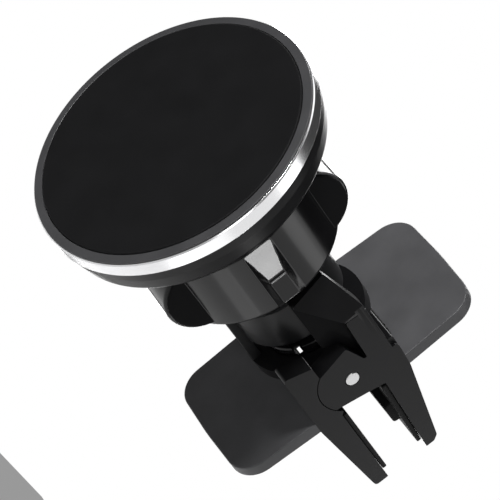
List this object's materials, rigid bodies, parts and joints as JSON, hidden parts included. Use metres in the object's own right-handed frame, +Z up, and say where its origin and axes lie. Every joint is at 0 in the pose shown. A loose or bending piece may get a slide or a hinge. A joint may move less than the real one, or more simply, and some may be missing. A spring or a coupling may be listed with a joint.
{
  "type": "car phone mount",
  "caption": "Magnetic phone mount for a car air vent: round magnetic head on a lockable ball joint, sprung two-jaw louvre clip with side wings.",
  "frame": {"origin": "between the jaws, on the neck's axis, where the vent louvre is gripped", "axes": "+X along the louvre, +Y into the vent and away from the driver, +Z up"},
  "size_m": [0.0442, 0.0719, 0.045],
  "materials": {
    "face_rubber": "fine matte rubber skin",
    "satin_plastic": "satin moulded black",
    "gloss_plastic": "polished black",
    "wing_plastic": "finely textured black",
    "inner_plastic": "plain dark grey moulding",
    "liner_plastic": "natural acetal",
    "rubber": "soft matte rubber",
    "bezel_metal": "bright satin, chamfered",
    "pin_metal": "bright turned end",
    "steel": "zinc-plated",
    "magnet": "nickel-plated"
  },
  "bodies": {
    "clip": {"clip_body": "satin_plastic", "neck_socket": "gloss_plastic", "neck_collar": "gloss_plastic", "stem_screw": "steel", "seat_washer": "steel", "hinge_pin": "pin_metal", "pin_ring": "steel", "torsion_spring": "steel", "fixed_jaw_pad": "rubber", "lower_wing": "wing_plastic", "lower_wing_pad": "rubber"},
    "jaw": {"moving_jaw": "satin_plastic", "thumb_grip": "rubber", "moving_jaw_pad": "rubber", "upper_wing": "wing_plastic", "upper_wing_pad": "rubber"},
    "skirt": {"nut_skirt": "gloss_plastic"},
    "nut": {"lock_nut": "gloss_plastic"},
    "seat": {"ball_seat": "inner_plastic"},
    "liner": {"ball_liner": "liner_plastic"},
    "head": {"face_pad": "face_rubber", "front_cover": "satin_plastic", "bezel_ring": "bezel_metal", "magnet_carrier": "inner_plastic", "magnet_1": "magnet", "magnet_2": "magnet", "magnet_3": "magnet", "magnet_4": "magnet", "magnet_5": "magnet", "magnet_6": "magnet", "steel_yoke": "steel", "rear_housing": "satin_plastic", "housing_screw_1": "steel", "housing_screw_2": "steel", "housing_screw_3": "steel", "ball_stud": "steel", "stud_screw": "steel"}
  },
  "joints": [
    {"name": "jaw_hinge", "type": "hinge", "parent": "clip", "child": "jaw", "pos_m": [0, -0.0128, 0], "axis": [1, 0, 0], "range_deg": [-15, 0], "stiffness_Nm_per_rad": 0.02},
    {"name": "nut_travel", "type": "slide", "parent": "clip", "child": "skirt", "axis": [0, -1, 0], "range_m": [0, 0.0003]},
    {"name": "nut_turn", "type": "hinge", "parent": "skirt", "child": "nut", "pos_m": [0, -0.04, 0], "axis": [0, -1, 0], "range_deg": [0, 90]},
    {"name": "ball_swivel", "type": "hinge", "parent": "clip", "child": "seat", "pos_m": [0, -0.04, 0], "axis": [0, 1, 0], "continuous": true},
    {"name": "ball_tilt", "type": "hinge", "parent": "seat", "child": "liner", "pos_m": [0, -0.04, 0], "axis": [1, 0, 0], "range_deg": [-20, 20]},
    {"name": "head_spin", "type": "hinge", "parent": "liner", "child": "head", "pos_m": [0, -0.04, 0], "axis": [0, 1, 0], "continuous": true}
  ],
  "couplings": [
    {"joint": "nut_travel", "follows": "nut_turn", "m_per_rad": 0.00019099}
  ]
}
